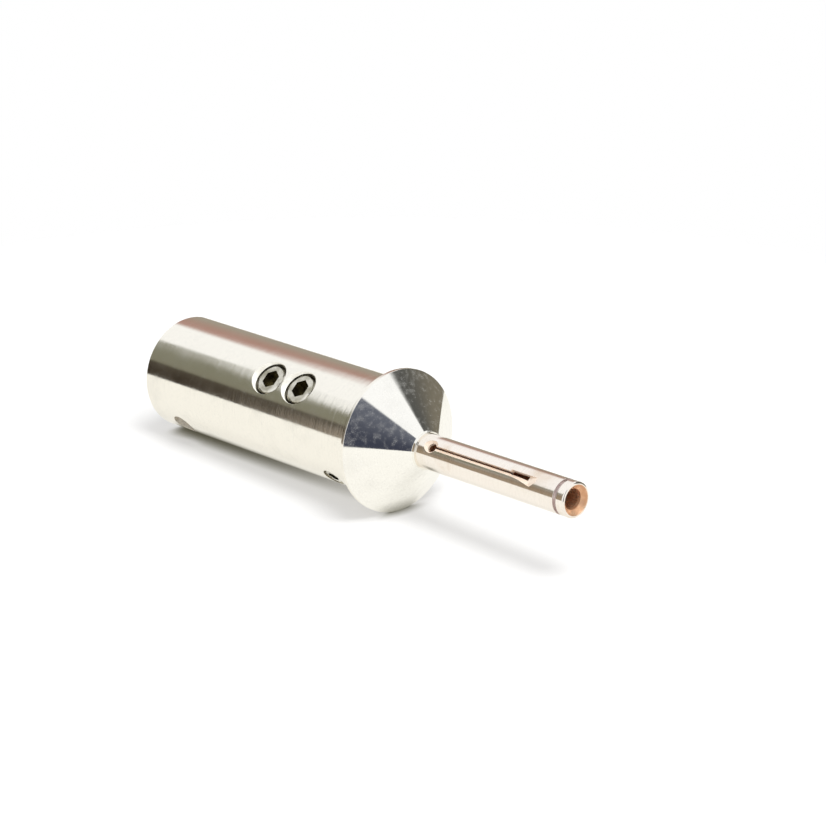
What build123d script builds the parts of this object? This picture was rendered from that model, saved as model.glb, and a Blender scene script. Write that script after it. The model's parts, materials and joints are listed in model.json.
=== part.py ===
from build123d import *
from math import radians, tan
import os

# Banana plug for a 4 mm socket, in millimetres. It stands on its rear face: the origin is the centre
# of that face, +Z runs along the axis to the tip, and the clamp screws are on the -Y side.

# Barrel
BARREL_D = 13.2
BARREL_LENGTH = 33.4
REAR_CHAMFER = 0.4
CABLE_BORE_D = 6.0
CABLE_LEAD_IN = 0.7

# Clamp screws, side by side along the barrel, that grip the bare end of the cable
CLAMP_D = 4.0
CLAMP_LENGTH = 3.0
CLAMP_FROM_FRONT = 7.5
CLAMP_PITCH = 5.15
CLAMP_SINK = 0.45
CLAMP_HEX = 2.0
CLAMP_HEX_DEPTH = 1.5
CLAMP_END_CHAMFER = 0.3
CLAMP_COUNTERSINK_D = 5.0
CLAMP_ANGLE = -90.0

# Cross holes a quarter turn round from the clamp screws
CROSS_ANGLE = 0.0
CROSS_HOLE_D = 3.0
CROSS_HOLE_Z = 5.0
LOCK_D = 2.5
LOCK_EDGE = 0.4
LOCK_SINK = 0.15
LOCK_HEX = 1.3
LOCK_HEX_DEPTH = 0.9
LOCK_END_CHAMFER = 0.2

# Head: skirt, rim, cone and the spigot that screws into the barrel
SKIRT_LENGTH = 3.6
RIM_D = 16.3
RIM_LAND = 0.5
RIM_EDGE_BREAK = 0.12
CONE_HALF_ANGLE = 52.3
NECK_D = 4.4
NECK_LENGTH = 0.35
SPIGOT_D = 8.0
SPIGOT_LENGTH = 4.8
SPIGOT_CHAMFER = 0.4

# Hollow contact pin
PIN_D = 4.0
PIN_LENGTH = 22.75
PIN_BORE_D = 2.9
PIN_BORE_DEPTH = 21.5
SHANK_D = 3.6
SHANK_LENGTH = 7.0
SHANK_CHAMFER = 0.3
LIP_LENGTH = 1.1
LIP_ROUND = 0.25
FLARE_D = 3.4
FLARE_DEPTH = 0.5
MOUTH_D = 2.3
MOUTH_LENGTH = 0.9
GROOVE_WIDTH = 0.45
GROOVE_DEPTH = 0.25

# Slit in the pin wall: a narrow cut with a round eye behind and a wider mouth in front. One side is
# filed to a slope, and the mouth runs out to the surface in a ramp.
SLIT_ANGLE = -90.0
SLIT_FROM_TIP = 4.5
SLIT_LENGTH = 16.8
SLIT_WIDTH = 0.22
SLIT_SLOPE = 0.42
SLIT_SLOPE_DEPTH = 0.3
SLIT_EYE_D = 1.1
SLIT_EYE_OFFSET = 0.14
SLIT_MOUTH_LENGTH = 3.9
SLIT_MOUTH_RISE = 0.2
SLIT_MOUTH_STEP = 0.1
SLIT_MOUTH_DROP = 1.0
SLIT_MOUTH_DEPTH = 0.42
SLIT_RAMP = 1.4

# Clearances
THREAD_GAP = 0.05
SPIGOT_END_GAP = 0.2
SHANK_GAP = 0.02
SHANK_END_GAP = 0.1
LOCK_TIP_GAP = 0.02

# Places along the axis
CLAMP_FRONT_Z = BARREL_LENGTH - CLAMP_FROM_FRONT
CLAMP_REAR_Z = CLAMP_FRONT_Z - CLAMP_PITCH
LOCK_Z = BARREL_LENGTH - LOCK_EDGE - LOCK_D / 2
RIM_Z = BARREL_LENGTH + SKIRT_LENGTH
CONE_Z = RIM_Z + RIM_LAND
NECK_Z = CONE_Z + (RIM_D - NECK_D) / 2 / tan(radians(CONE_HALF_ANGLE))
PIN_Z = NECK_Z + NECK_LENGTH
TIP_Z = PIN_Z + PIN_LENGTH


def turned(points):
    """A solid of revolution about the plug's axis from (radius, z) points."""
    outline = make_face(Polyline(*[(r, 0, z) for r, z in points], close=True))
    return revolve(outline, Axis.Z)


def facing(angle, z):
    """A plane on the axis at height z that looks outward at this angle, with its local Y up the axis."""
    outward = Vector(1, 0, 0).rotate(Axis.Z, angle)
    across = Vector(0, 1, 0).rotate(Axis.Z, angle)
    return Plane(origin=(0, 0, z), x_dir=across, z_dir=outward)


def drilled(diameter, angle, z):
    """A drill through one wall, from the axis to past the barrel's surface."""
    return extrude(facing(angle, z) * Circle(diameter / 2), BARREL_D)


def countersink(diameter, angle, z):
    """A 45 degree cone that has this diameter at the top of the barrel's surface."""
    tip = BARREL_D / 2 - diameter / 2
    height = BARREL_D - tip
    return facing(angle, z) * Pos(0, 0, tip + height / 2) * Cone(0, height, height)


def set_screw(diameter, length, hexagon, hexagon_depth, chamfer_length):
    """A socket set screw on the local Z axis, its socket end at zero and its point below it."""
    body = Pos(0, 0, -length / 2) * Cylinder(diameter / 2 - THREAD_GAP, length)
    body = chamfer(body.edges().filter_by(GeomType.CIRCLE), chamfer_length)
    socket = extrude(RegularPolygon(hexagon / 2, 6, major_radius=False), -hexagon_depth)
    return body - socket


def barrel():
    outer = BARREL_D / 2
    bore = CABLE_BORE_D / 2
    seat = SPIGOT_D / 2 + THREAD_GAP
    seat_z = BARREL_LENGTH - SPIGOT_LENGTH - SPIGOT_END_GAP
    body = turned([
        (bore + CABLE_LEAD_IN, 0),
        (outer - REAR_CHAMFER, 0),
        (outer, REAR_CHAMFER),
        (outer, BARREL_LENGTH),
        (seat, BARREL_LENGTH),
        (seat, seat_z),
        (bore, seat_z),
        (bore, CABLE_LEAD_IN),
    ])
    for z in (CLAMP_REAR_Z, CLAMP_FRONT_Z):
        body -= drilled(CLAMP_D, CLAMP_ANGLE, z)
        body -= countersink(CLAMP_COUNTERSINK_D, CLAMP_ANGLE, z)
    body -= drilled(CROSS_HOLE_D, CROSS_ANGLE, CROSS_HOLE_Z)
    body -= drilled(LOCK_D, CROSS_ANGLE, LOCK_Z)
    return body


def clamp_screw(z):
    screw = set_screw(CLAMP_D, CLAMP_LENGTH, CLAMP_HEX, CLAMP_HEX_DEPTH, CLAMP_END_CHAMFER)
    return facing(CLAMP_ANGLE, z) * Pos(0, 0, BARREL_D / 2 - CLAMP_SINK) * screw


def lock_screw():
    length = BARREL_D / 2 - LOCK_SINK - SPIGOT_D / 2 - LOCK_TIP_GAP
    screw = set_screw(LOCK_D, length, LOCK_HEX, LOCK_HEX_DEPTH, LOCK_END_CHAMFER)
    return facing(CROSS_ANGLE, LOCK_Z) * Pos(0, 0, BARREL_D / 2 - LOCK_SINK) * screw


def head():
    spigot = SPIGOT_D / 2
    skirt = BARREL_D / 2
    rim = RIM_D / 2
    neck = NECK_D / 2
    socket = SHANK_D / 2 + SHANK_GAP
    spigot_z = BARREL_LENGTH - SPIGOT_LENGTH
    socket_z = PIN_Z - SHANK_LENGTH - SHANK_END_GAP
    return turned([
        (0, spigot_z),
        (spigot - SPIGOT_CHAMFER, spigot_z),
        (spigot, spigot_z + SPIGOT_CHAMFER),
        (spigot, BARREL_LENGTH),
        (skirt, BARREL_LENGTH),
        (skirt, RIM_Z),
        (rim - RIM_EDGE_BREAK, RIM_Z),
        (rim, RIM_Z + RIM_EDGE_BREAK),
        (rim, CONE_Z),
        (neck, NECK_Z),
        (neck, PIN_Z),
        (socket, PIN_Z),
        (socket, socket_z),
        (0, socket_z),
    ])


def pin_blank():
    """The pin before its slit is cut: shank, shoulder, tube, groove and rounded lip."""
    outer = PIN_D / 2
    shank = SHANK_D / 2
    bore = PIN_BORE_D / 2
    mouth = MOUTH_D / 2
    shank_z = PIN_Z - SHANK_LENGTH
    lip_z = TIP_Z - LIP_LENGTH
    groove_z = lip_z - GROOVE_WIDTH
    mouth_z = TIP_Z - MOUTH_LENGTH
    blank = turned([
        (0, shank_z),
        (shank - SHANK_CHAMFER, shank_z),
        (shank, shank_z + SHANK_CHAMFER),
        (shank, PIN_Z),
        (outer, PIN_Z),
        (outer, groove_z),
        (outer - GROOVE_DEPTH, groove_z),
        (outer - GROOVE_DEPTH, lip_z),
        (outer, lip_z),
        (outer, TIP_Z),
        (FLARE_D / 2, TIP_Z),
        (mouth, TIP_Z - FLARE_DEPTH),
        (mouth, mouth_z),
        (bore, mouth_z - (bore - mouth)),
        (bore, TIP_Z - PIN_BORE_DEPTH),
        (0, TIP_Z - PIN_BORE_DEPTH),
    ])
    nose = blank.edges().filter_by(GeomType.CIRCLE).group_by(Axis.Z)[-1].sort_by(SortBy.RADIUS)[-1]
    return fillet(nose, LIP_ROUND)


def slit_line(slope):
    """The narrow part of the slit, with its rear end at zero and its length along Y."""
    upper = -SLIT_WIDTH / 2
    lower = SLIT_WIDTH / 2 + slope
    rear = SLIT_EYE_D / 2
    front = SLIT_LENGTH - SLIT_MOUTH_LENGTH / 2
    return make_face(Polyline((upper, rear), (lower, rear), (lower, front), (upper, front), close=True))


def slit_eye(slope):
    """The round eye at the slit's rear end."""
    return Pos(SLIT_EYE_OFFSET, SLIT_EYE_D / 2) * Circle(SLIT_EYE_D / 2 + slope)


def slit_mouth(slope, drop, short):
    """The wide front end of the slit: one side steps out, the other curves away from it."""
    rear = SLIT_LENGTH - SLIT_MOUTH_LENGTH
    front = SLIT_LENGTH - short
    upper = -SLIT_WIDTH / 2 - SLIT_MOUTH_RISE
    side = SLIT_WIDTH / 2 + slope
    lower = side + drop
    outline = [
        Line((lower, front), (upper, front)),
        Line((upper, front), (upper, rear)),
        Line((upper, rear), (side, rear)),
        TangentArc((side, rear), (lower, front), tangent=(0, 1)),
    ]
    return make_face(outline)


def slit_cutter(wall, inner, outer, depth):
    """Cuts one outline through the wall and slopes its edges out to another at the surface."""
    through = extrude(wall * inner, PIN_D)
    top = wall * Pos(0, 0, PIN_D / 2)
    slope = loft([top * outer, top * Pos(0, 0, -depth) * inner])
    return through + slope


def contact_pin():
    wall = facing(SLIT_ANGLE, TIP_Z - SLIT_FROM_TIP - SLIT_LENGTH)
    through = slit_mouth(0, SLIT_MOUTH_STEP, SLIT_RAMP)
    surface = slit_mouth(SLIT_SLOPE, SLIT_MOUTH_DROP, 0)
    body = pin_blank()
    body -= slit_cutter(wall, slit_line(0), slit_line(SLIT_SLOPE), SLIT_SLOPE_DEPTH)
    body -= slit_cutter(wall, slit_eye(0), slit_eye(SLIT_SLOPE), SLIT_SLOPE_DEPTH)
    body -= slit_cutter(wall, through, surface, SLIT_MOUTH_DEPTH)
    return body


os.makedirs("parts", exist_ok=True)
PIECES = {
    "barrel": barrel(),
    "head": head(),
    "contact_pin": contact_pin(),
    "clamp_screw_rear": clamp_screw(CLAMP_REAR_Z),
    "clamp_screw_front": clamp_screw(CLAMP_FRONT_Z),
    "lock_screw": lock_screw(),
}
for name, piece in PIECES.items():
    export_step(piece, f"parts/{name}.step")
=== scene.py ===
import json
import math

import bmesh
import bpy
from bpy.props import FloatProperty, FloatVectorProperty, IntProperty, PointerProperty
from mathutils import Matrix, Vector


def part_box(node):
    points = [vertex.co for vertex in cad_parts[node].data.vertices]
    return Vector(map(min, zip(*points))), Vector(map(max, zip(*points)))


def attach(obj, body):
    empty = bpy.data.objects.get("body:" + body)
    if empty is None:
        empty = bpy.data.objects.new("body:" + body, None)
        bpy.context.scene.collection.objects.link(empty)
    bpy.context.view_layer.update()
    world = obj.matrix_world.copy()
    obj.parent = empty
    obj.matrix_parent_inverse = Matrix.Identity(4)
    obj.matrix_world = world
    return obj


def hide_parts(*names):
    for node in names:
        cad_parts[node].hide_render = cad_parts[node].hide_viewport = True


bl_info = {
    "name": "Banana Plug",
    "version": (1, 0, 0),
    "blender": (4, 5, 0),
    "location": "3D View > Sidebar > Banana Plug",
    "description": "Plated banana plug: drilled barrel, cone head, slit hollow pin and set screws",
    "category": "Object",
}

# The frame lies with the plug's axis on Z, rear face at zero and the clamp screws on the -Y side.
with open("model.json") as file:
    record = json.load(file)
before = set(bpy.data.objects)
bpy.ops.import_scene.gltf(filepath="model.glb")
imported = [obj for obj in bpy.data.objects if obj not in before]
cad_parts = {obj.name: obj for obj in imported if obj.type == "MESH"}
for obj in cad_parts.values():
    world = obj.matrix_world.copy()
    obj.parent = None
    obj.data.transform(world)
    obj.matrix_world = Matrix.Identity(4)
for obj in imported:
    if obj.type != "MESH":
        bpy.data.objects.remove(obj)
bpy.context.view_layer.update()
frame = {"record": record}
MM = 0.001
MOUNTS = {mount["name"]: mount for mount in frame["record"]["mounts"]}


def mount_radius(name):
    """The radius of one of the record's mounts, in metres."""
    return MOUNTS[name]["dims"]["r_mm"] * MM


BARREL_R = mount_radius("sleeve_seat")
BARREL_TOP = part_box("barrel")[1].z
HEAD_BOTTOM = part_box("head")[0].z
NECK_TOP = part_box("head")[1].z
SHANK_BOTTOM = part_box("contact_pin")[0].z
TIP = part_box("contact_pin")[1].z
REAR_CLAMP_Z = sum(corner.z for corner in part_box("clamp_screw_rear")) / 2
FRONT_CLAMP_Z = sum(corner.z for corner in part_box("clamp_screw_front")) / 2
LOCK_Z = sum(corner.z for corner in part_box("lock_screw")) / 2
CLAMP_FACE = -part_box("clamp_screw_rear")[0].y
CLAMP_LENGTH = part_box("clamp_screw_rear")[1].y + CLAMP_FACE
LOCK_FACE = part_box("lock_screw")[1].x
LOCK_LENGTH = LOCK_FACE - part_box("lock_screw")[0].x

# Which way the screws point
CLAMP_TURN = (math.pi / 2, 0.0, 0.0)
CLAMP_OUT = Vector((0.0, -1.0, 0.0))
LOCK_TURN = (0.0, math.pi / 2, 0.0)
LOCK_OUT = Vector((1.0, 0.0, 0.0))

# Material slots of the turned pieces
OUTSIDE = 0
INSIDE = 1
CUT_EDGE = 2
CONE = 2
THREAD = 3
GROOVE = 3
CROSS_HOLE = 4

# Facets round the turned pieces, round a drill and round the slit's eye, and steps along the slit's curve
BARREL_FACETS = 256
HEAD_FACETS = 320
PIN_FACETS = 192
DRILL_FACETS = 96
EYE_FACETS = 48
CURVE_STEPS = 16

# Threaded holes: depth of the thread, then the middle of each cutter and its length
TAP_DEPTH = 0.2 * MM
CLAMP_TAP_MIDDLE = 4.65 * MM
CLAMP_TAP_LENGTH = 5.5 * MM
LOCK_TAP_MIDDLE = 5.9 * MM
LOCK_TAP_LENGTH = 4.4 * MM

# How the plug lies, and where the photograph was taken from
LYING_SIDE = Vector((-0.683274, -0.730162, 0.0))
RIM_EDGE_BREAK = 0.12 * MM
CAMERA_PLACE = Vector((0.07734991, -0.22010368, 0.27296952))
CAMERA_RIGHT = Vector((-0.52230114, 0.5266521, 0.67070044))
CAMERA_DOWN = Vector((0.81727137, 0.53367768, 0.21738364))


def length(name, description, default):
    """A length that a user would change, in metres."""
    return FloatProperty(name=name, description=description, default=default, min=0.0, precision=5,
                         unit="LENGTH", subtype="DISTANCE")


def colour(name, description, default):
    """A colour that a user would change."""
    return FloatVectorProperty(name=name, description=description, default=default, size=3,
                               min=0.0, max=1.0, subtype="COLOR")


def share(name, description, default):
    """A number from 0 to 1 that a user would change."""
    return FloatProperty(name=name, description=description, default=default, min=0.0, max=1.0,
                         subtype="FACTOR")


class BarrelSizes(bpy.types.PropertyGroup):
    """Sizes of the barrel and its holes."""
    radius: length("Radius", "Outer radius of the barrel", BARREL_R)
    bore: length("Cable bore", "Radius of the bore that takes the cable", mount_radius("cable_bore"))
    lead_in: length("Lead-in", "Chamfer where the cable goes in", 0.7 * MM)
    rear_chamfer: length("Rear chamfer", "Chamfer on the rear edge", 0.4 * MM)
    seat_radius: length("Seat radius", "Radius of the recess for the head's spigot", 4.05 * MM)
    seat_depth: length("Seat depth", "Depth of the recess for the head's spigot", 5.0 * MM)
    edge: length("Edge round", "Round on the machined edges", 0.05 * MM)
    joint_edge: length("Joint edge", "Round on the edge that meets the head", 0.008 * MM)
    tap_radius: length("Clamp tap", "Radius of the clamp screws' threaded holes", 2.0 * MM)
    countersink: length("Countersink", "Radius of the countersinks over the clamp screws", 2.5 * MM)
    cross_radius: length("Cross hole", "Radius of the solder hole near the rear", 1.5 * MM)
    cross_z: length("Cross hole height", "Height of the solder hole above the rear face", 5.0 * MM)
    lock_tap: length("Lock tap", "Radius of the lock screw's threaded hole", 1.25 * MM)


class HeadSizes(bpy.types.PropertyGroup):
    """Sizes of the head: spigot, skirt, rim, cone and neck."""
    spigot: length("Spigot radius", "Radius of the spigot inside the barrel", 4.0 * MM)
    spigot_chamfer: length("Spigot chamfer", "Chamfer at the spigot's end", 0.4 * MM)
    skirt: length("Skirt length", "Length of the skirt between barrel and rim", 3.6 * MM)
    rim: length("Rim radius", "Radius of the rim", 8.15 * MM)
    rim_land: length("Rim land", "Thickness of the rim at its edge", 0.5 * MM)
    neck: length("Neck radius", "Radius of the neck round the pin", 2.2 * MM)
    neck_length: length("Neck length", "Length of the neck in front of the cone", 0.35 * MM)
    socket: length("Pin socket", "Radius of the hole that takes the pin's shank", 1.82 * MM)
    edge: length("Edge round", "Round on the machined edges", 0.06 * MM)


class PinSizes(bpy.types.PropertyGroup):
    """Sizes of the contact pin and its slit."""
    radius: length("Radius", "Outer radius of the pin", mount_radius("contact_pin"))
    shank: length("Shank radius", "Radius of the shank inside the head", 1.8 * MM)
    bore: length("Bore radius", "Radius of the pin's bore", 1.45 * MM)
    bore_depth: length("Bore depth", "Depth of the bore from the tip", 21.5 * MM)
    mouth: length("Mouth radius", "Radius of the opening in the tip", 1.15 * MM)
    mouth_length: length("Mouth length", "From the tip to the end of the narrow part", 0.9 * MM)
    flare: length("Flare radius", "Radius at the tip of the opening's flare", 1.7 * MM)
    flare_depth: length("Flare depth", "Depth of the opening's flare", 0.5 * MM)
    lip: length("Lip length", "Length of the lip in front of the ring groove", 1.1 * MM)
    lip_round: length("Lip round", "Round on the front of the lip", 0.25 * MM)
    groove: length("Groove width", "Width of the ring groove", 0.45 * MM)
    groove_depth: length("Groove depth", "Depth of the ring groove", 0.25 * MM)
    slit_length: length("Slit length", "Length of the slit with its eye and mouth", 16.8 * MM)
    slit_from_tip: length("Slit from tip", "From the tip to the front end of the slit", 4.5 * MM)
    slit_width: length("Slit width", "Width of the slit's narrow part", 0.22 * MM)
    slope: length("Slit slope", "Width of the slope filed along the slit", 0.42 * MM)
    slope_depth: length("Slope depth", "Depth of the slope filed along the slit", 0.3 * MM)
    eye: length("Eye radius", "Radius of the round eye at the slit's rear end", 0.55 * MM)
    eye_offset: length("Eye offset", "How far the eye sits to one side of the slit", 0.14 * MM)
    mouth_run: length("Slit mouth", "Length of the wide front part of the slit", 3.9 * MM)
    mouth_rise: length("Mouth rise", "How far the mouth widens on its straight side", 0.2 * MM)
    mouth_step: length("Mouth step", "How far the mouth's gap widens on its curved side", 0.1 * MM)
    mouth_drop: length("Mouth drop", "How far the mouth's slope widens on its curved side", 1.0 * MM)
    mouth_depth: length("Mouth depth", "Depth of the slope round the mouth", 0.42 * MM)
    ramp: length("Mouth ramp", "Length of the ramp at the slit's front end", 1.4 * MM)
    slit_angle: FloatProperty(name="Slit angle", description="Where round the pin the slit is",
                              default=-math.pi / 2, subtype="ANGLE")


class ScrewSizes(bpy.types.PropertyGroup):
    """Sizes of the set screws and their threads."""
    clamp_radius: length("Clamp radius", "Outer radius of a clamp screw's thread", 1.95 * MM)
    clamp_pitch: length("Clamp pitch", "Pitch of a clamp screw's thread", 0.7 * MM)
    clamp_hex: length("Clamp hexagon", "Width across flats of a clamp screw's socket", 2.0 * MM)
    clamp_hex_depth: length("Clamp socket depth", "Depth of a clamp screw's socket", 1.5 * MM)
    clamp_chamfer: length("Clamp chamfer", "Chamfer at the ends of a clamp screw", 0.3 * MM)
    lock_radius: length("Lock radius", "Outer radius of the lock screw's thread", 1.2 * MM)
    lock_pitch: length("Lock pitch", "Pitch of the lock screw's thread", 0.45 * MM)
    lock_hex: length("Lock hexagon", "Width across flats of the lock screw's socket", 1.3 * MM)
    lock_hex_depth: length("Lock socket depth", "Depth of the lock screw's socket", 0.9 * MM)
    lock_chamfer: length("Lock chamfer", "Chamfer at the ends of the lock screw", 0.2 * MM)
    facets: IntProperty(name="Facets", description="Facets round a thread", default=64, min=12, max=256)


class Finishes(bpy.types.PropertyGroup):
    """Colours and textures of the plating."""
    body: colour("Body plating", "Plating of the barrel and skirt", (0.95, 0.925, 0.855))
    cone: colour("Cone plating", "Brighter plating of the cone", (0.985, 0.975, 0.93))
    pin: colour("Pin plating", "Rosier plating of the contact pin", (0.965, 0.91, 0.85))
    screw: colour("Screw plating", "Plating of the set screws", (0.82, 0.80, 0.73))
    bare: colour("Bare metal", "Unplated copper alloy inside the pin", (0.92, 0.60, 0.38))
    roughness: share("Roughness", "Roughness of the plating", 0.1)
    ring_height: length("Ring height", "Height of the fine turning rings", 0.0016 * MM)


class StageSizes(bpy.types.PropertyGroup):
    """The white table that the plug lies on, its lamp and the camera."""
    table: colour("Table", "Colour of the table", (0.9, 0.9, 0.9))
    reach: FloatProperty(name="Reach", description="Half the width of the table", default=0.115,
                         unit="LENGTH", subtype="DISTANCE")
    lamp_size: FloatProperty(name="Lamp size", description="Diameter of the overhead lamp", default=0.45,
                             unit="LENGTH", subtype="DISTANCE")
    lamp_power: FloatProperty(name="Lamp power", description="Power of the overhead lamp in watts", default=4.7)
    lens: FloatProperty(name="Lens", description="Focal length of the camera in millimetres",
                        default=130.7506)


def point(scene_group):
    """Adds one of the property groups to the scene."""
    return PointerProperty(type=scene_group)


def node(tree, kind, inputs=None, **settings):
    """Adds a node with its settings. Inputs are numbers, or sockets to link, by name or by index."""
    made = tree.nodes.new(kind)
    for key, value in settings.items():
        setattr(made, key, value)
    for key, value in (inputs or {}).items():
        if isinstance(value, bpy.types.NodeSocket):
            tree.links.new(value, made.inputs[key])
        else:
            made.inputs[key].default_value = value
    return made


def maths(tree, operation, a, b=0.0, c=0.0, clamp=False):
    """Adds a Math node and returns its output."""
    made = node(tree, "ShaderNodeMath", {0: a, 1: b, 2: c}, operation=operation, use_clamp=clamp)
    return made.outputs[0]


def ramp(tree, value, low, high, to_low=0.0, to_high=1.0):
    """Eases a value from one number to another between two limits."""
    made = node(tree, "ShaderNodeMapRange", {0: value, 1: low, 2: high, 3: to_low, 4: to_high},
                interpolation_type="SMOOTHSTEP")
    return made.outputs[0]


def blend_colour(tree, amount, a, b):
    """Mixes two colours."""
    made = node(tree, "ShaderNodeMix", {0: amount, 6: a, 7: b}, data_type="RGBA")
    return made.outputs[2]


def rgba(values):
    """A colour with full alpha."""
    return (values[0], values[1], values[2], 1.0)


def new_material(name):
    """An empty material and its node tree, with a Principled shader at the end."""
    material = bpy.data.materials.new(name)
    material.use_nodes = True
    tree = material.node_tree
    tree.nodes.clear()
    shader = node(tree, "ShaderNodeBsdfPrincipled")
    node(tree, "ShaderNodeOutputMaterial", {0: shader.outputs[0]})
    return material, tree, shader


def off_axis(tree, place):
    """The distance of a place, given as separate X, Y and Z, from the Z axis."""
    x, y = place.outputs[0], place.outputs[1]
    return maths(tree, "SQRT", maths(tree, "ADD", maths(tree, "MULTIPLY", x, x), maths(tree, "MULTIPLY", y, y)))


def ring_run(tree, position):
    """A number that grows along the plug and in towards its axis, so that one turning pass has one value."""
    place = node(tree, "ShaderNodeSeparateXYZ", {0: position})
    return maths(tree, "SUBTRACT", place.outputs[2], off_axis(tree, place))


def turned_plating(name, tint, stain, roughness, ring_height, dust):
    """Bright plating over a turned surface: fine rings, a few deeper ones, faint stains and soft dust."""
    material, tree, shader = new_material(name)
    position = node(tree, "ShaderNodeTexCoord").outputs["Object"]
    run = ring_run(tree, position)
    waver = node(tree, "ShaderNodeTexNoise", {"Vector": position, "Scale": 180.0, "Detail": 1.0}).outputs[0]
    path = maths(tree, "ADD", run, maths(tree, "MULTIPLY", waver, 0.00012))
    fine = node(tree, "ShaderNodeTexNoise", {"W": path, "Scale": 7000.0, "Detail": 3.0, "Roughness": 0.6},
                noise_dimensions="1D").outputs[0]
    coarse = node(tree, "ShaderNodeTexNoise", {"W": path, "Scale": 1400.0, "Detail": 2.0},
                  noise_dimensions="1D").outputs[0]
    grain = node(tree, "ShaderNodeTexNoise", {"Vector": position, "Scale": 5200.0, "Detail": 2.0}).outputs[0]
    height = maths(tree, "ADD", maths(tree, "MULTIPLY", coarse, 1.4), fine)
    height = maths(tree, "ADD", height, maths(tree, "MULTIPLY", grain, 1.3))
    bump = node(tree, "ShaderNodeBump", {"Strength": 1.0, "Distance": ring_height, "Height": height})
    cloud = node(tree, "ShaderNodeTexNoise", {"Vector": position, "Scale": 260.0, "Detail": 4.0}).outputs[0]
    stained = ramp(tree, cloud, 0.5, 0.78)
    plated = blend_colour(tree, stained, rgba(tint), rgba(stain))
    streak = maths(tree, "MULTIPLY", ramp(tree, maths(tree, "ADD", fine, grain), 0.85, 1.3), 0.12)
    plated = blend_colour(tree, streak, plated, rgba([c * 0.72 for c in stain]))
    speck = node(tree, "ShaderNodeTexNoise", {"Vector": position, "Scale": 1700.0, "Detail": 3.0}).outputs[0]
    dusty = maths(tree, "MULTIPLY", ramp(tree, maths(tree, "ADD", speck, maths(tree, "MULTIPLY", cloud, 0.35)),
                                         0.62, 0.95), dust)
    tree.links.new(blend_colour(tree, dusty, plated, (0.75, 0.73, 0.68, 1.0)), shader.inputs["Base Color"])
    tree.links.new(maths(tree, "SUBTRACT", 1.0, dusty), shader.inputs["Metallic"])
    scuffed = maths(tree, "MULTIPLY", fine, 0.5)
    dull = maths(tree, "ADD", maths(tree, "MULTIPLY", cloud, 0.5), scuffed)
    tree.links.new(ramp(tree, dull, 0.3, 0.75, roughness * 0.6, roughness * 1.6), shader.inputs["Roughness"])
    tree.links.new(bump.outputs[0], shader.inputs["Normal"])
    return material


def cast_metal(name, tint, dark, roughness, metallic):
    """Metal as the drill left it: uneven, duller and darker in places."""
    material, tree, shader = new_material(name)
    position = node(tree, "ShaderNodeTexCoord").outputs["Object"]
    cloud = node(tree, "ShaderNodeTexNoise", {"Vector": position, "Scale": 900.0, "Detail": 4.0}).outputs[0]
    grain = node(tree, "ShaderNodeTexNoise", {"Vector": position, "Scale": 5000.0, "Detail": 2.0}).outputs[0]
    bump = node(tree, "ShaderNodeBump", {"Strength": 1.0, "Distance": 0.002 * MM, "Height": grain})
    tree.links.new(blend_colour(tree, ramp(tree, cloud, 0.35, 0.7), rgba(tint), rgba(dark)),
                   shader.inputs["Base Color"])
    tree.links.new(ramp(tree, cloud, 0.3, 0.7, roughness * 0.7, roughness * 1.5), shader.inputs["Roughness"])
    tree.links.new(bump.outputs[0], shader.inputs["Normal"])
    shader.inputs["Metallic"].default_value = metallic
    return material


# Finishes of what was drilled, cut or filed, some carrying painted shade or painted light: tint, darker tint,
# roughness and metallic
CAST = {
    # Painted shade: the hex sockets are tinted nearly black, standing for the shade inside the recess.
    "Socket painted shade": ((0.34, 0.31, 0.20), (0.07, 0.06, 0.04), 0.3, 1.0),
    # Painted highlight: a pale, half-diffuse finish that makes the countersink rims look lit.
    "Countersink painted highlight": ((0.97, 0.955, 0.88), (0.90, 0.87, 0.78), 0.4, 0.4),
    # Painted light: a pale, half-diffuse finish that lightens the solder hole's shaded inside.
    "Solder hole painted light": ((0.86, 0.82, 0.74), (0.70, 0.64, 0.54), 0.45, 0.35),
    "Filed edge": ((0.93, 0.80, 0.68), (0.82, 0.66, 0.52), 0.45, 0.35),
    # Painted shade: the ring groove is tinted darker than the pin's plating.
    "Groove painted shade": ((0.86, 0.78, 0.75), (0.66, 0.56, 0.54), 0.3, 1.0),
    "Drilled metal": ((0.80, 0.77, 0.66), (0.62, 0.56, 0.42), 0.3, 1.0),
    # Painted shade: the holes' threads are tinted nearly black in their hollows.
    "Thread painted shade": ((0.66, 0.62, 0.50), (0.10, 0.085, 0.06), 0.35, 1.0),
}


def finish(name):
    """One of the plug's finishes, made the first time that it is asked for."""
    known = bpy.data.materials.get(name)
    if known:
        return known
    looks = bpy.context.scene.plug_finishes
    if name == "Body plating":
        return turned_plating(name, looks.body, [c * 0.93 for c in looks.body], looks.roughness,
                              looks.ring_height, 0.03)
    if name == "Cone plating":
        return turned_plating(name, looks.cone, [c * 0.94 for c in looks.cone], looks.roughness * 0.6,
                              looks.ring_height * 0.2, 0.10)
    if name == "Pin plating":
        return turned_plating(name, looks.pin, (0.84, 0.72, 0.60), looks.roughness,
                              looks.ring_height * 0.5, 0.02)
    if name == "Screw plating":
        return cast_metal(name, looks.screw, (0.42, 0.40, 0.32), 0.2, 1.0)
    if name == "Bare metal":
        return cast_metal(name, looks.bare, (0.66, 0.36, 0.20), 0.3, 0.6)
    return cast_metal(name, *CAST[name])


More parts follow.
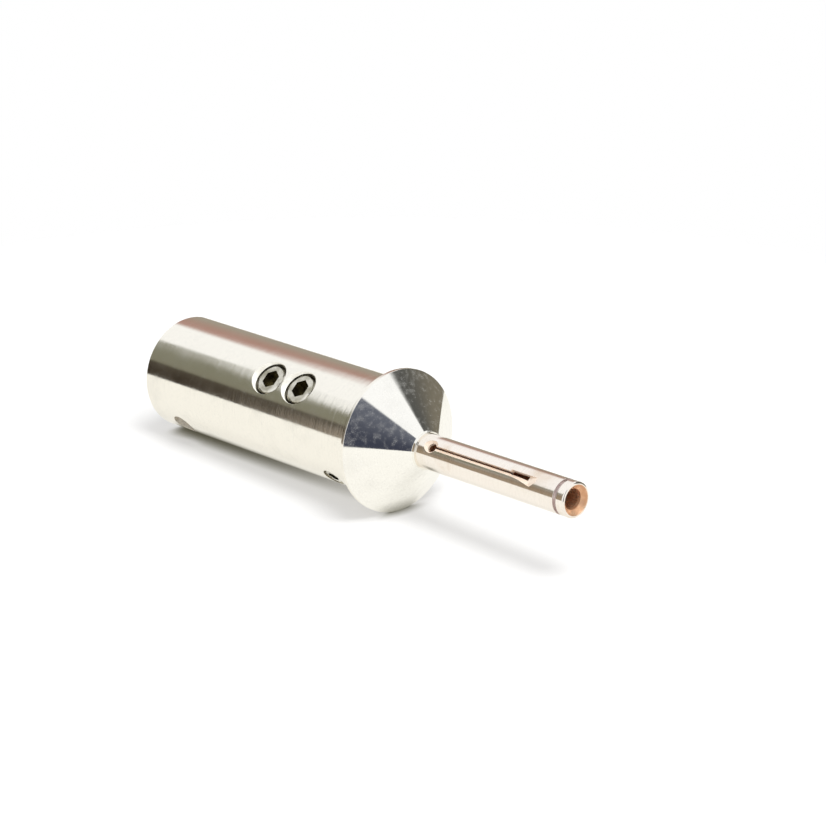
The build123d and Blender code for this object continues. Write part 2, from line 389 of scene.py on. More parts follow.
def eased(corners, steps=4):
    """An outline's corners (radius, height, round, surface) as points, each round as an arc of short edges."""
    points = []
    count = len(corners)
    for i, (r, z, rounding, surface) in enumerate(corners):
        before = corners[i - 1][3]
        if not rounding:
            points.append((r, z, surface))
            continue
        here = Vector((r, z))
        back = (Vector(corners[i - 1][:2]) - here).normalized()
        ahead = (Vector(corners[(i + 1) % count][:2]) - here).normalized()
        half = back.angle(ahead) / 2
        start = here + back * (rounding / math.tan(half))
        end = here + ahead * (rounding / math.tan(half))
        centre = here + (back + ahead).normalized() * (rounding / math.sin(half))
        sweep = (start - centre).angle_signed(end - centre)
        for step in range(steps + 1):
            spoke = (start - centre).copy()
            spoke.rotate(Matrix.Rotation(-sweep * step / steps, 2))
            points.append((centre.x + spoke.x, centre.y + spoke.y, before if step < steps // 2 else surface))
    return points


def turned(name, points, segments, materials):
    """A turned piece from a closed outline of (radius, height, surface). Points on the axis are poles."""
    verts = []
    rings = []
    for r, z, _ in points:
        if r < 1e-7:
            rings.append([len(verts)] * segments)
            verts.append((0.0, 0.0, z))
            continue
        rings.append(range(len(verts), len(verts) + segments))
        for i in range(segments):
            angle = math.tau * i / segments
            verts.append((r * math.cos(angle), r * math.sin(angle), z))
    faces = []
    surfaces = []
    for i, (_, _, surface) in enumerate(points):
        a = rings[i]
        b = rings[(i + 1) % len(points)]
        if a[0] == a[1] and b[0] == b[1]:
            continue
        for j in range(segments):
            k = (j + 1) % segments
            corners = list(dict.fromkeys((a[j], a[k], b[k], b[j])))
            faces.append(corners)
            surfaces.append(surface)
    return raw_mesh(name, verts, faces, surfaces, materials)


def raw_mesh(name, verts, faces, surfaces, materials):
    """A mesh whose faces know which surface, and so which material slot, they belong to."""
    mesh = bpy.data.meshes.new(name)
    mesh.from_pydata(verts, [], faces)
    for material in materials:
        mesh.materials.append(material)
    mesh.polygons.foreach_set("material_index", surfaces)
    mesh.update()
    return mesh


def show(name, mesh):
    """An object for a mesh, in the scene's collection."""
    made = bpy.data.objects.new(name, mesh)
    bpy.context.scene.collection.objects.link(made)
    return made


def plain(thing):
    """Turns what an object's modifiers make into its own plain mesh."""
    bpy.context.view_layer.update()
    mesh = bpy.data.meshes.new_from_object(thing.evaluated_get(bpy.context.evaluated_depsgraph_get()))
    thing.modifiers.clear()
    thing.data = mesh
    return thing


def cut(thing, cutters):
    """Cuts each of the meshes out of an object."""
    tools = [show("cutter", mesh) for mesh in cutters]
    for tool in tools:
        modifier = thing.modifiers.new("Cut", "BOOLEAN")
        modifier.operation = "DIFFERENCE"
        modifier.solver = "EXACT"
        modifier.object = tool
    plain(thing)
    weld(thing.data)
    for tool in tools:
        bpy.data.objects.remove(tool)


def weld(mesh, gap=0.0005 * MM):
    """Joins corners that a cut left on top of each other, and drops the faces without area between them."""
    work = bmesh.new()
    work.from_mesh(mesh)
    bmesh.ops.remove_doubles(work, verts=work.verts, dist=gap)
    bmesh.ops.dissolve_degenerate(work, dist=gap, edges=work.edges)
    work.to_mesh(mesh)
    work.free()


def true_normals(thing, turned_surfaces):
    """Smooths cut faces by angle, and gives turned faces the exact normals of a turned surface."""
    mesh = thing.data
    mesh.shade_smooth()
    mesh.set_sharp_from_angle(angle=math.radians(35))
    normals = [tuple(corner.vector) for corner in mesh.corner_normals]
    for face in mesh.polygons:
        if face.material_index not in turned_surfaces:
            continue
        centre = Vector((face.center.x, face.center.y))
        if centre.length < 1e-6:
            continue
        outward = face.normal.x * centre.x / centre.length + face.normal.y * centre.y / centre.length
        for loop in face.loop_indices:
            spot = mesh.vertices[mesh.loops[loop].vertex_index].co
            spoke = Vector((spot.x, spot.y))
            if spoke.length > 1e-6:
                spoke.normalize()
                normals[loop] = (spoke.x * outward, spoke.y * outward, face.normal.z)
    mesh.normals_split_custom_set(normals)


def prism(levels, surface, materials):
    """A closed solid through outlines that have the same number of points, from the lowest to the highest."""
    count = len(levels[0])
    verts = [tuple(corner) for level in levels for corner in level]
    faces = [list(range(count))[::-1]]
    for i in range(len(levels) - 1):
        for j in range(count):
            k = (j + 1) % count
            faces.append([i * count + j, i * count + k, (i + 1) * count + k, (i + 1) * count + j])
    faces.append([(len(levels) - 1) * count + j for j in range(count)])
    return raw_mesh("cutter", verts, faces, [surface] * len(faces), materials)


def facing(angle):
    """Turns local X, Y and Z into tangent, up the plug and outward, at this angle round the plug."""
    outward = Vector((math.cos(angle), math.sin(angle), 0.0))
    across = Vector((-math.sin(angle), math.cos(angle), 0.0))
    return Matrix((across, Vector((0.0, 0.0, 1.0)), outward)).transposed()


def circle(radius, facets):
    """Points round a circle."""
    return [(radius * math.cos(math.tau * i / facets), radius * math.sin(math.tau * i / facets))
            for i in range(facets)]


def drill(angle, z, levels, surface, materials):
    """A round cutter at this angle and height round the plug, from (distance from the axis, radius) levels."""
    turn = facing(angle)
    outlines = []
    for distance, radius in levels:
        ring = circle(radius, DRILL_FACETS)
        outlines.append([turn @ Vector((x, y, distance)) + Vector((0.0, 0.0, z)) for x, y in ring])
    return prism(outlines, surface, materials)


def set_screw_tree():
    """Geometry nodes of a threaded rod with chamfered ends and, if it has a width, a hexagon socket."""
    tree = bpy.data.node_groups.new("Set screw", "GeometryNodeTree")
    for name, kind in (("Radius", "Float"), ("Length", "Float"), ("Pitch", "Float"), ("Thread depth", "Float"),
                       ("Chamfer", "Float"), ("Socket width", "Float"), ("Socket depth", "Float"),
                       ("Facets", "Int"), ("Place", "Vector"), ("Turn", "Vector"), ("Finish", "Material"),
                       ("Socket finish", "Material")):
        tree.interface.new_socket(name, in_out="INPUT", socket_type="NodeSocket" + kind)
    tree.interface.new_socket("Geometry", in_out="OUTPUT", socket_type="NodeSocketGeometry")
    given = node(tree, "NodeGroupInput").outputs
    rings = maths(tree, "MULTIPLY", maths(tree, "DIVIDE", given["Length"], given["Pitch"]), 14.0)
    rod = node(tree, "GeometryNodeMeshCylinder", {"Vertices": given["Facets"], "Side Segments": rings,
                                                  "Radius": given["Radius"], "Depth": given["Length"]})
    position = node(tree, "GeometryNodeInputPosition").outputs[0]
    place = node(tree, "ShaderNodeSeparateXYZ", {0: position})
    turn = maths(tree, "DIVIDE", maths(tree, "ARCTAN2", place.outputs[1], place.outputs[0]), math.tau)
    turns = maths(tree, "DIVIDE", place.outputs[2], given["Pitch"])
    phase = maths(tree, "FRACT", maths(tree, "SUBTRACT", turns, turn))
    flank = maths(tree, "ABSOLUTE", maths(tree, "SUBTRACT", phase, 0.5))
    crest = maths(tree, "MULTIPLY", maths(tree, "SUBTRACT", flank, 0.04), 2.4, clamp=True)
    depth = maths(tree, "MULTIPLY", maths(tree, "SUBTRACT", 1.0, crest), given["Thread depth"])
    to_end = maths(tree, "SUBTRACT", maths(tree, "MULTIPLY", given["Length"], 0.5),
                   maths(tree, "ABSOLUTE", place.outputs[2]))
    chamfered = maths(tree, "ADD", maths(tree, "SUBTRACT", given["Radius"], given["Chamfer"]), to_end)
    radius = maths(tree, "MINIMUM", maths(tree, "SUBTRACT", given["Radius"], depth), chamfered)
    grow = maths(tree, "DIVIDE", radius, given["Radius"])
    flat = node(tree, "ShaderNodeCombineXYZ", {0: maths(tree, "MULTIPLY", place.outputs[0], grow),
                                               1: maths(tree, "MULTIPLY", place.outputs[1], grow),
                                               2: place.outputs[2]})
    threaded = node(tree, "GeometryNodeSetPosition", {"Geometry": rod.outputs[0], "Position": flat.outputs[0]})
    corner = maths(tree, "DIVIDE", given["Socket width"], math.sqrt(3.0))
    bit = node(tree, "GeometryNodeMeshCylinder", {"Vertices": 6, "Radius": corner,
                                                  "Depth": maths(tree, "MULTIPLY", given["Socket depth"], 2.0)})
    lift = node(tree, "ShaderNodeCombineXYZ", {2: maths(tree, "MULTIPLY", given["Length"], 0.5)})
    bit = node(tree, "GeometryNodeTransform", {"Geometry": bit.outputs[0], "Translation": lift.outputs[0]})
    socketed = node(tree, "GeometryNodeMeshBoolean", {0: threaded.outputs[0], 1: bit.outputs[0]},
                    operation="DIFFERENCE", solver="EXACT")
    has_socket = node(tree, "FunctionNodeCompare", {0: given["Socket width"], 1: 0.0}, operation="GREATER_THAN")
    chosen = node(tree, "GeometryNodeSwitch", {0: has_socket.outputs[0], 1: threaded.outputs[0],
                                               2: socketed.outputs[0]}, input_type="GEOMETRY")
    inside = maths(tree, "MULTIPLY", maths(tree, "LESS_THAN", off_axis(tree, place), corner),
                   maths(tree, "GREATER_THAN", to_end, 0.02 * MM))
    return screw_ending(tree, chosen.outputs[0], given, inside)


def screw_ending(tree, geometry, given, inside):
    """Lays the screw in its place, makes it real and gives it its materials."""
    marked = node(tree, "GeometryNodeStoreNamedAttribute",
                  {"Geometry": geometry, "Name": "socket", "Value": inside}, data_type="FLOAT", domain="FACE")
    laid = node(tree, "GeometryNodeTransform", {"Geometry": marked.outputs[0], "Translation": given["Place"],
                                                "Rotation": given["Turn"]})
    real = node(tree, "GeometryNodeRealizeInstances", {0: laid.outputs[0]})
    plated = node(tree, "GeometryNodeSetMaterial", {"Geometry": real.outputs[0], "Material": given["Finish"]})
    socket = node(tree, "GeometryNodeInputNamedAttribute", {"Name": "socket"}, data_type="FLOAT").outputs[0]
    chosen = node(tree, "FunctionNodeCompare", {0: socket, 1: 0.5}, operation="GREATER_THAN").outputs[0]
    # The hex socket's faces get the finish with painted shade.
    shaded_socket = node(tree, "GeometryNodeSetMaterial", {"Geometry": plated.outputs[0], "Selection": chosen,
                                                   "Material": given["Socket finish"]})
    node(tree, "NodeGroupOutput", {0: shaded_socket.outputs[0]})
    return tree


def threaded_rod(name, **sizes):
    """An object from the set screw's nodes, as a plain mesh."""
    tree = bpy.data.node_groups.get("Set screw") or set_screw_tree()
    rod = show(name, bpy.data.meshes.new(name))
    modifier = rod.modifiers.new("Set screw", "NODES")
    modifier.node_group = tree
    for item in tree.interface.items_tree:
        key = item.name.lower().replace(" ", "_")
        if item.in_out == "INPUT" and key in sizes:
            modifier[item.identifier] = sizes[key]
    return plain(rod)


def tap(name, distance, depth_of_cut, radius, pitch, turn, outward, z):
    """The mesh of a threaded cutter that lies across one wall of the barrel."""
    rod = threaded_rod(name, radius=radius + TAP_DEPTH, length=depth_of_cut, pitch=pitch, thread_depth=TAP_DEPTH,
                       chamfer=0.0, socket_width=0.0, socket_depth=0.1 * MM, facets=64,
                       place=tuple(outward * distance + Vector((0.0, 0.0, z))), turn=turn,
                       finish=finish("Drilled metal"), socket_finish=finish("Drilled metal"))
    mesh = rod.data
    bpy.data.objects.remove(rod)
    return mesh


def as_surface(mesh, surface, materials):
    """Moves all of a mesh's faces to one slot of these materials."""
    mesh.materials.clear()
    for material in materials:
        mesh.materials.append(material)
    mesh.polygons.foreach_set("material_index", [surface] * len(mesh.polygons))
    mesh.update()
    return mesh


class PLUG_OT_barrel(bpy.types.Operator):
    """Makes the barrel with its bore, threaded clamp holes, solder hole and lock hole"""
    bl_idname = "banana_plug.barrel"
    bl_label = "Barrel"

    def execute(self, context):
        sizes = context.scene.plug_barrel
        screws = context.scene.plug_screws
        edge = sizes.edge
        seat_z = BARREL_TOP - sizes.seat_depth
        outline = eased([
            (sizes.bore + sizes.lead_in, 0.0, edge, OUTSIDE),
            (sizes.radius - sizes.rear_chamfer, 0.0, edge, OUTSIDE),
            (sizes.radius, sizes.rear_chamfer, 2 * edge, OUTSIDE),
            (sizes.radius, BARREL_TOP, sizes.joint_edge, OUTSIDE),
            (sizes.seat_radius, BARREL_TOP, edge, INSIDE),
            (sizes.seat_radius, seat_z, 0.0, INSIDE),
            (sizes.bore, seat_z, edge, INSIDE),
            (sizes.bore, sizes.lead_in, edge, INSIDE),
        ])
        # The countersinks carry a painted highlight, the threads painted shade and the solder hole painted
        # light.
        materials = [finish(name) for name in ("Body plating", "Drilled metal", "Countersink painted highlight", "Thread painted shade",
                                               "Solder hole painted light")]
        piece = show("turned_barrel", turned("turned_barrel", outline, BARREL_FACETS, materials))
        cutters = []
        low = sizes.radius - 1.2 * MM
        high = sizes.radius + 0.6 * MM
        for z in (REAR_CLAMP_Z, FRONT_CLAMP_Z):
            thread = tap("clamp_tap", CLAMP_TAP_MIDDLE, CLAMP_TAP_LENGTH, sizes.tap_radius, screws.clamp_pitch,
                         CLAMP_TURN, CLAMP_OUT, z)
            cutters.append(as_surface(thread, THREAD, materials))
            sink = [(low, sizes.countersink - 1.2 * MM), (high, sizes.countersink + 0.6 * MM)]
            cutters.append(drill(-math.pi / 2, z, sink, CUT_EDGE, materials))
        cross = [(2.0 * MM, sizes.cross_radius), (8.0 * MM, sizes.cross_radius)]
        cutters.append(drill(0.0, sizes.cross_z, cross, CROSS_HOLE, materials))
        lock = tap("lock_tap", LOCK_TAP_MIDDLE, LOCK_TAP_LENGTH, sizes.lock_tap, screws.lock_pitch,
                   LOCK_TURN, LOCK_OUT, LOCK_Z)
        cutters.append(as_surface(lock, THREAD, materials))
        cut(piece, cutters)
        true_normals(piece, (OUTSIDE, INSIDE))
        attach(piece, "plug")
        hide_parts("barrel")
        return {"FINISHED"}


class PLUG_OT_head(bpy.types.Operator):
    """Makes the head: spigot, skirt, rim, cone and neck"""
    bl_idname = "banana_plug.head"
    bl_label = "Head"

    def execute(self, context):
        sizes = context.scene.plug_head
        skirt_r = context.scene.plug_barrel.radius
        edge = sizes.edge
        rim_z = BARREL_TOP + sizes.skirt
        neck_z = NECK_TOP - sizes.neck_length
        socket_z = SHANK_BOTTOM - 0.1 * MM
        chamfer = sizes.spigot_chamfer
        outline = eased([
            (0.0, HEAD_BOTTOM, 0.0, INSIDE),
            (sizes.spigot - chamfer, HEAD_BOTTOM, 0.0, INSIDE),
            (sizes.spigot, HEAD_BOTTOM + chamfer, 0.0, INSIDE),
            (sizes.spigot, BARREL_TOP, 0.0, OUTSIDE),
            (skirt_r, BARREL_TOP, context.scene.plug_barrel.joint_edge, OUTSIDE),
            (skirt_r, rim_z, edge, OUTSIDE),
            (sizes.rim, rim_z, 2 * edge, OUTSIDE),
            (sizes.rim, rim_z + sizes.rim_land, edge, CONE),
            (sizes.neck, neck_z, edge, CONE),
            (sizes.neck, NECK_TOP, edge, OUTSIDE),
            (sizes.socket, NECK_TOP, 0.0, INSIDE),
            (sizes.socket, socket_z, 0.0, INSIDE),
            (0.0, socket_z, 0.0, INSIDE),
        ])
        materials = [finish("Body plating"), finish("Drilled metal"), finish("Cone plating")]
        piece = show("turned_head", turned("turned_head", outline, HEAD_FACETS, materials))
        true_normals(piece, (OUTSIDE, INSIDE, CONE))
        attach(piece, "plug")
        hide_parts("head")
        return {"FINISHED"}


class PLUG_OT_contact_pin(bpy.types.Operator):
    """Makes the hollow contact pin with its ring groove, rounded lip and slit"""
    bl_idname = "banana_plug.contact_pin"
    bl_label = "Contact pin"

    def slit_outline(self, sizes, part, slope, drop, short):
        """Points round one part of the slit: its narrow line, its eye or its wide mouth."""
        half = sizes.slit_width / 2
        if part == "line":
            low = sizes.eye
            high = sizes.slit_length - sizes.mouth_run / 2
            return [(-half, low), (half + slope, low), (half + slope, high), (-half, high)]
        if part == "eye":
            radius = sizes.eye + slope
            return [(sizes.eye_offset + x, sizes.eye + y) for x, y in circle(radius, EYE_FACETS)]
        rear = sizes.slit_length - sizes.mouth_run
        run = sizes.mouth_run - short
        curve = [(half + slope + drop * (i / CURVE_STEPS) ** 2, rear + run * i / CURVE_STEPS)
                 for i in range(CURVE_STEPS + 1)]
        return curve + [(-half - sizes.mouth_rise, rear + run), (-half - sizes.mouth_rise, rear)]

    def execute(self, context):
        sizes = context.scene.plug_pin
        r = sizes.radius
        shank = sizes.shank
        lip_z = TIP - sizes.lip
        groove_z = lip_z - sizes.groove
        mouth_z = TIP - sizes.mouth_length
        edge = 0.04 * MM
        body = eased([
            (0.0, SHANK_BOTTOM, 0.0, OUTSIDE),
            (shank - 0.3 * MM, SHANK_BOTTOM, 0.0, OUTSIDE),
            (shank, SHANK_BOTTOM + 0.3 * MM, 0.0, OUTSIDE),
            (shank, NECK_TOP, 0.0, OUTSIDE),
            (r, NECK_TOP, edge, OUTSIDE),
            (r, groove_z, edge, GROOVE),
            (r - sizes.groove_depth, groove_z, 0.0, GROOVE),
            (r - sizes.groove_depth, lip_z, 0.0, GROOVE),
            (r, lip_z, 2 * edge, OUTSIDE),
            (r, TIP, sizes.lip_round, OUTSIDE),
            (sizes.flare, TIP, edge, INSIDE),
            (sizes.mouth, TIP - sizes.flare_depth, 2 * edge, INSIDE),
            (sizes.mouth, mouth_z, 0.0, INSIDE),
            (sizes.bore, mouth_z - (sizes.bore - sizes.mouth), 0.0, INSIDE),
            (sizes.bore, TIP - sizes.bore_depth, 0.0, INSIDE),
            (0.0, TIP - sizes.bore_depth, 0.0, INSIDE),
        ], steps=8)
        # The ring groove's finish carries painted shade.
        materials = [finish("Pin plating"), finish("Bare metal"), finish("Filed edge"), finish("Groove painted shade")]
        piece = show("slit_pin", turned("slit_pin", body, PIN_FACETS, materials))
        turn = facing(sizes.slit_angle)
        foot = Vector((0.0, 0.0, TIP - sizes.slit_from_tip - sizes.slit_length))
        cutters = []
        over = 0.2 * MM
        for part in ("line", "eye", "mouth"):
            depth = sizes.mouth_depth if part == "mouth" else sizes.slope_depth
            levels = []
            for distance, share_out in ((0.4 * MM, 0.0), (r - depth, 0.0), (r + over, 1 + over / depth)):
                drop = sizes.mouth_step + (sizes.mouth_drop - sizes.mouth_step) * share_out
                outline = self.slit_outline(sizes, part, sizes.slope * share_out, drop,
                                            sizes.ramp * (1 - share_out))
                levels.append([turn @ Vector((x, y, distance)) + foot for x, y in outline])
            cutters.append(prism(levels, CUT_EDGE, materials))
        cut(piece, cutters)
        true_normals(piece, (OUTSIDE, INSIDE, GROOVE))
        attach(piece, "plug")
        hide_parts("contact_pin")
        return {"FINISHED"}


class PLUG_OT_clamp_screws(bpy.types.Operator):
    """Makes the two clamp screws with their threads and hexagon sockets"""
    bl_idname = "banana_plug.clamp_screws"
    bl_label = "Clamp screws"

    def execute(self, context):
        sizes = context.scene.plug_screws
        middle = CLAMP_FACE - CLAMP_LENGTH / 2
        for name, z, body in (("rear", REAR_CLAMP_Z, "rear_clamp"), ("front", FRONT_CLAMP_Z, "front_clamp")):
            screw = threaded_rod(f"{name}_set_screw", radius=sizes.clamp_radius, length=CLAMP_LENGTH,
                                 pitch=sizes.clamp_pitch, thread_depth=sizes.clamp_pitch * 0.5,
                                 chamfer=sizes.clamp_chamfer, socket_width=sizes.clamp_hex,
                                 socket_depth=sizes.clamp_hex_depth, facets=sizes.facets,
                                 place=tuple(CLAMP_OUT * middle + Vector((0.0, 0.0, z))), turn=CLAMP_TURN,
                                 finish=finish("Screw plating"), socket_finish=finish("Socket painted shade"))
            true_normals(screw, ())
            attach(screw, body)
            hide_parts(f"clamp_screw_{name}")
        return {"FINISHED"}


class PLUG_OT_lock_screw(bpy.types.Operator):
    """Makes the lock screw that holds the head's spigot"""
    bl_idname = "banana_plug.lock_screw"
    bl_label = "Lock screw"

    def execute(self, context):
        sizes = context.scene.plug_screws
        middle = LOCK_FACE - LOCK_LENGTH / 2
        screw = threaded_rod("lock_set_screw", radius=sizes.lock_radius, length=LOCK_LENGTH,
                             pitch=sizes.lock_pitch, thread_depth=sizes.lock_pitch * 0.5,
                             chamfer=sizes.lock_chamfer,
                             socket_width=sizes.lock_hex, socket_depth=sizes.lock_hex_depth, facets=sizes.facets,
                             place=tuple(LOCK_OUT * middle + Vector((0.0, 0.0, LOCK_Z))), turn=LOCK_TURN,
                             finish=finish("Screw plating"), socket_finish=finish("Socket painted shade"))
        true_normals(screw, ())
        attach(screw, "plug")
        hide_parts("lock_screw")
        return {"FINISHED"}


def table_plane(context):
    """The outward normal of the table and its distance from the origin: it touches the rim and the rear edge."""
    barrel = context.scene.plug_barrel
    head = context.scene.plug_head
    low_r = barrel.radius
    low_z = barrel.rear_chamfer
    high_r = head.rim
    high_z = BARREL_TOP + head.skirt + RIM_EDGE_BREAK
    tilt = math.atan2(high_r - low_r, high_z - low_z)
    normal = LYING_SIDE * math.cos(tilt) + Vector((0.0, 0.0, math.sin(tilt)))
    return normal, low_r * math.cos(tilt) - low_z * math.sin(tilt)


def table_ways(normal):
    """The directions along the table: towards the plug's tip, and across it."""
    ahead = (Vector((0.0, 0.0, 1.0)) - normal * normal.z).normalized()
    return ahead, normal.cross(ahead)


PAINTED_REFLECTIONS = (
    # painted reflections that only glossy rays see: heading from, to, edge; elevation from, to, edge, rise of
    # the top edge per degree; colour low and high
    (-164.0, -136.5, 2.0, -12.0, 23.4, 1.5, -0.48, (0.205, 0.19, 0.14), (0.215, 0.21, 0.155)),
    (-136.5, -108.0, 1.5, -12.0, 23.2, 1.5, -0.5, (0.33, 0.26, 0.183), (0.24, 0.19, 0.135)),
    (-175.0, -136.8, 1.2, -12.0, 13.0, 1.8, 0.0, (0.035, 0.026, 0.017), (0.07, 0.058, 0.042)),
    (-40.0, -9.0, 1.5, -12.0, 40.0, 2.0, 0.0, (0.045, 0.05, 0.075), (0.13, 0.14, 0.175)),
    (43.0, 112.0, 2.0, -12.0, 43.0, 2.0, 0.0, (0.19, 0.17, 0.13), (0.09, 0.09, 0.085)),
    (122.0, 157.0, 4.0, -12.0, 34.0, 4.0, 0.5, (0.36, 0.32, 0.26), (0.43, 0.24, 0.20)),
)


def studio_world(normal):
    """A white studio with a few soft dark patches that only the shiny surfaces mirror: painted reflections,
    which light nothing.
    """
    world = bpy.data.worlds.new("Studio")
    bpy.context.scene.world = world
    world.use_nodes = True
    tree = world.node_tree
    tree.nodes.clear()
    ahead, aside = table_ways(normal)
    ray = node(tree, "ShaderNodeTexCoord").outputs["Generated"]

    def along(axis):
        made = node(tree, "ShaderNodeVectorMath", {0: ray, 1: tuple(axis)}, operation="DOT_PRODUCT")
        return made.outputs["Value"]

    degrees = 180.0 / math.pi
    heading = maths(tree, "MULTIPLY", maths(tree, "ARCTAN2", along(aside), along(ahead)), degrees)
    elevation = maths(tree, "MULTIPLY", maths(tree, "ARCSINE", along(normal)), degrees)
    seen = (1.0, 1.0, 1.0, 1.0)
    for h0, h1, h_edge, e0, e1, e_edge, lean, low, high in PAINTED_REFLECTIONS:
        rise = ramp(tree, heading, h0 - h_edge, h0 + h_edge)
        fall = ramp(tree, heading, h1 - h_edge, h1 + h_edge, 1.0, 0.0)
        up = ramp(tree, elevation, e0 - e_edge, e0 + e_edge)
        leaning = maths(tree, "MULTIPLY", maths(tree, "SUBTRACT", heading, h1), lean)
        levelled = maths(tree, "SUBTRACT", elevation, leaning)
        down = ramp(tree, levelled, e1 - e_edge, e1 + e_edge, 1.0, 0.0)
        amount = maths(tree, "MULTIPLY", maths(tree, "MULTIPLY", rise, fall), maths(tree, "MULTIPLY", up, down))
        shade = blend_colour(tree, ramp(tree, elevation, max(e0, 0.0), e1), rgba(low), rgba(high))
        seen = blend_colour(tree, amount, seen, shade)
    light = node(tree, "ShaderNodeLightPath").outputs
    mirrored = node(tree, "ShaderNodeBackground", {0: seen, 1: 1.0})
    white = node(tree, "ShaderNodeBackground", {0: (1.0, 1.0, 1.0, 1.0), 1: 1.0})
    plain_light = node(tree, "ShaderNodeBackground", {0: (1.0, 1.0, 1.0, 1.0), 1: 0.75})
    shiny = maths(tree, "MAXIMUM", light["Is Glossy Ray"], light["Is Transmission Ray"])
    other = node(tree, "ShaderNodeMixShader", {0: shiny, 1: plain_light.outputs[0], 2: mirrored.outputs[0]})
    every = node(tree, "ShaderNodeMixShader", {0: light["Is Camera Ray"], 1: other.outputs[0],
                                               2: white.outputs[0]})
    node(tree, "ShaderNodeOutputWorld", {0: every.outputs[0]})


def table_material(tint, middle, reach):
    """White table top, seen from its front only, that fades out towards its edge. Its colour and glow carry
    painted contact shade near the plug, and it glows brighter and cream in reflections, a painted reflection.
    """
    material, tree, shader = new_material("White table")
    position = node(tree, "ShaderNodeTexCoord").outputs["Object"]
    cloud = node(tree, "ShaderNodeTexNoise", {"Vector": position, "Scale": 12.0, "Detail": 2.0}).outputs[0]
    # Painted contact shade: ambient occlusion turns the table's colour olive and its glow nearly black where the
    # plug is close.
    open_air = node(tree, "ShaderNodeAmbientOcclusion", {"Distance": 2.0 * MM}, samples=16).outputs["AO"]
    painted_shade_openness = ramp(tree, open_air, 0.0, 0.7)
    white = blend_colour(tree, cloud, rgba([c * 0.99 for c in tint]), rgba(tint))
    tree.links.new(blend_colour(tree, painted_shade_openness, (0.28, 0.26, 0.17, 1.0), white), shader.inputs["Base Color"])
    shader.inputs["Roughness"].default_value = 0.5
    shader.inputs["Specular IOR Level"].default_value = 0.0
    ray = node(tree, "ShaderNodeLightPath").outputs
    mirrored = maths(tree, "MAXIMUM", ray["Is Glossy Ray"], ray["Is Transmission Ray"])
    # Painted reflection: the table glows more strongly (0.85 against 0.36) and cream rather than white where the
    # metal mirrors it.
    seen = maths(tree, "MAXIMUM", maths(tree, "MULTIPLY", ray["Is Camera Ray"], 0.36),
                 maths(tree, "MULTIPLY", mirrored, 0.85))
    glow_colour_with_painted_reflection = blend_colour(tree, mirrored, (1.0, 0.99, 0.98, 1.0), (0.96, 0.94, 0.88, 1.0))
    glow_with_painted_shade = blend_colour(tree, painted_shade_openness, (0.10, 0.095, 0.06, 1.0), glow_colour_with_painted_reflection)
    white = node(tree, "ShaderNodeEmission", {"Color": glow_with_painted_shade, "Strength": 1.0})
    lit = node(tree, "ShaderNodeMixShader", {0: seen, 1: shader.outputs[0], 2: white.outputs[0]})
    clear = node(tree, "ShaderNodeBsdfTransparent")
    behind = node(tree, "ShaderNodeNewGeometry").outputs["Backfacing"]
    off = node(tree, "ShaderNodeVectorMath", {0: position, 1: tuple(middle)},
               operation="DISTANCE").outputs["Value"]
    gone = maths(tree, "MAXIMUM", behind, ramp(tree, off, reach * 0.85, reach * 0.98))
    both = node(tree, "ShaderNodeMixShader", {0: gone, 1: lit.outputs[0], 2: clear.outputs[0]})
    output = next(n for n in tree.nodes if n.type == "OUTPUT_MATERIAL")
    tree.links.new(both.outputs[0], output.inputs[0])
    return material


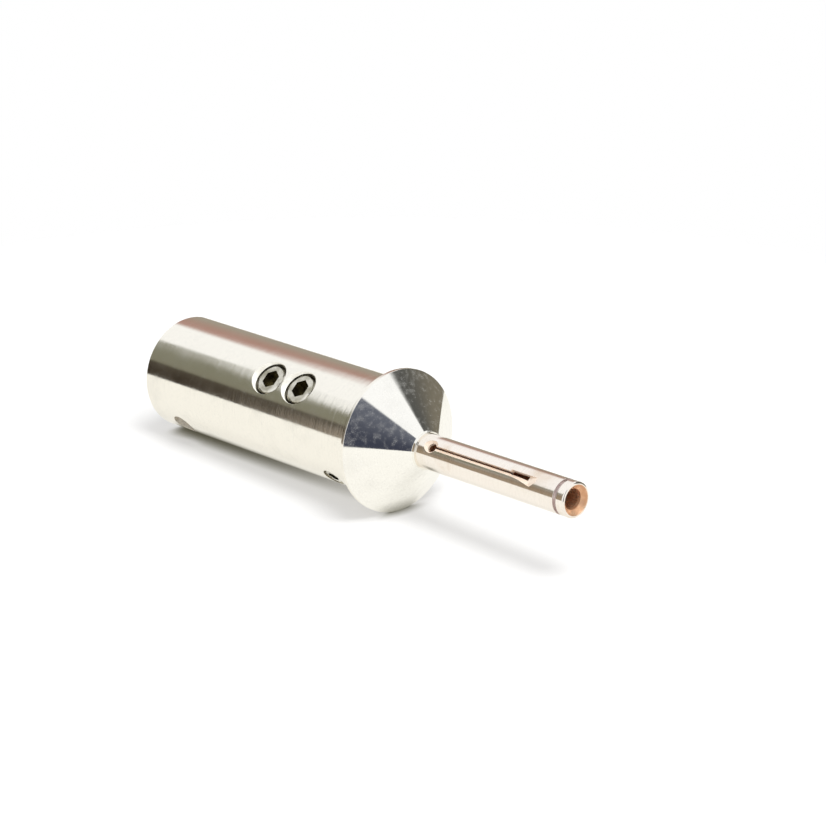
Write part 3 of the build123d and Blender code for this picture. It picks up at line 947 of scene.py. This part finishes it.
class PLUG_OT_stage(bpy.types.Operator):
    """Makes the white table under the lying plug, the studio, its lamp and the camera"""
    bl_idname = "banana_plug.stage"
    bl_label = "Table, lamp and camera"

    def execute(self, context):
        sizes = context.scene.plug_stage
        normal, distance = table_plane(context)
        ahead, aside = table_ways(normal)
        middle = ahead * BARREL_TOP
        centre = middle - normal * distance
        corners = [centre + ahead * a * sizes.reach + aside * b * sizes.reach
                   for a, b in ((-1, -1), (1, -1), (1, 1), (-1, 1))]
        table = show("white_table", raw_mesh("white_table", [tuple(c) for c in corners], [[0, 1, 2, 3]], [0],
                                             [table_material(sizes.table, centre, sizes.reach)]))
        if table.data.polygons[0].normal.dot(normal) < 0:
            table.data.flip_normals()
        studio_world(normal)
        lamp = bpy.data.lights.new("Overhead lamp", "AREA")
        lamp.shape = "DISK"
        lamp.size = sizes.lamp_size
        lamp.energy = sizes.lamp_power
        direction = normal * 0.75 + ahead * 0.33 - aside * 0.04
        lamp_object = bpy.data.objects.new("Overhead lamp", lamp)
        lamp_object.location = direction
        lamp_object.rotation_euler = direction.to_track_quat("Z", "Y").to_euler()
        lamp_object.visible_glossy = False
        context.scene.collection.objects.link(lamp_object)
        up = -CAMERA_DOWN
        back = CAMERA_RIGHT.cross(up)
        camera = bpy.data.cameras.new("Camera")
        camera.sensor_width = 36.0
        camera.lens = sizes.lens
        camera.clip_start = 0.01
        holder = bpy.data.objects.new("Camera", camera)
        turn = Matrix((CAMERA_RIGHT, up, back)).transposed().to_4x4()
        holder.matrix_world = Matrix.Translation(CAMERA_PLACE) @ turn
        context.scene.collection.objects.link(holder)
        context.scene.camera = holder
        context.scene.view_settings.view_transform = "Standard"
        return {"FINISHED"}


OPERATORS = (PLUG_OT_stage, PLUG_OT_barrel, PLUG_OT_head, PLUG_OT_contact_pin, PLUG_OT_clamp_screws,
             PLUG_OT_lock_screw)
GROUPS = {"plug_barrel": BarrelSizes, "plug_head": HeadSizes, "plug_pin": PinSizes, "plug_screws": ScrewSizes,
          "plug_finishes": Finishes, "plug_stage": StageSizes}


class PLUG_PT_panel(bpy.types.Panel):
    """Lists the plug's pieces and their sizes"""
    bl_idname = "PLUG_PT_panel"
    bl_label = "Banana Plug"
    bl_space_type = "VIEW_3D"
    bl_region_type = "UI"
    bl_category = "Banana Plug"

    def draw(self, context):
        for operator in OPERATORS:
            self.layout.operator(operator.bl_idname)
        for name, group in GROUPS.items():
            box = self.layout.box()
            box.label(text=group.__doc__)
            for key in group.__annotations__:
                box.prop(getattr(context.scene, name), key)


def register():
    for group in GROUPS.values():
        bpy.utils.register_class(group)
    for name, group in GROUPS.items():
        setattr(bpy.types.Scene, name, point(group))
    for cls in OPERATORS + (PLUG_PT_panel,):
        bpy.utils.register_class(cls)


def unregister():
    for cls in (PLUG_PT_panel,) + OPERATORS[::-1]:
        bpy.utils.unregister_class(cls)
    for name, group in GROUPS.items():
        delattr(bpy.types.Scene, name)
        bpy.utils.unregister_class(group)


def main():
    register()
    bpy.ops.banana_plug.stage()
    bpy.ops.banana_plug.barrel()
    bpy.ops.banana_plug.head()
    bpy.ops.banana_plug.contact_pin()
    bpy.ops.banana_plug.clamp_screws()
    bpy.ops.banana_plug.lock_screw()


if __name__ == "__main__":
    main()
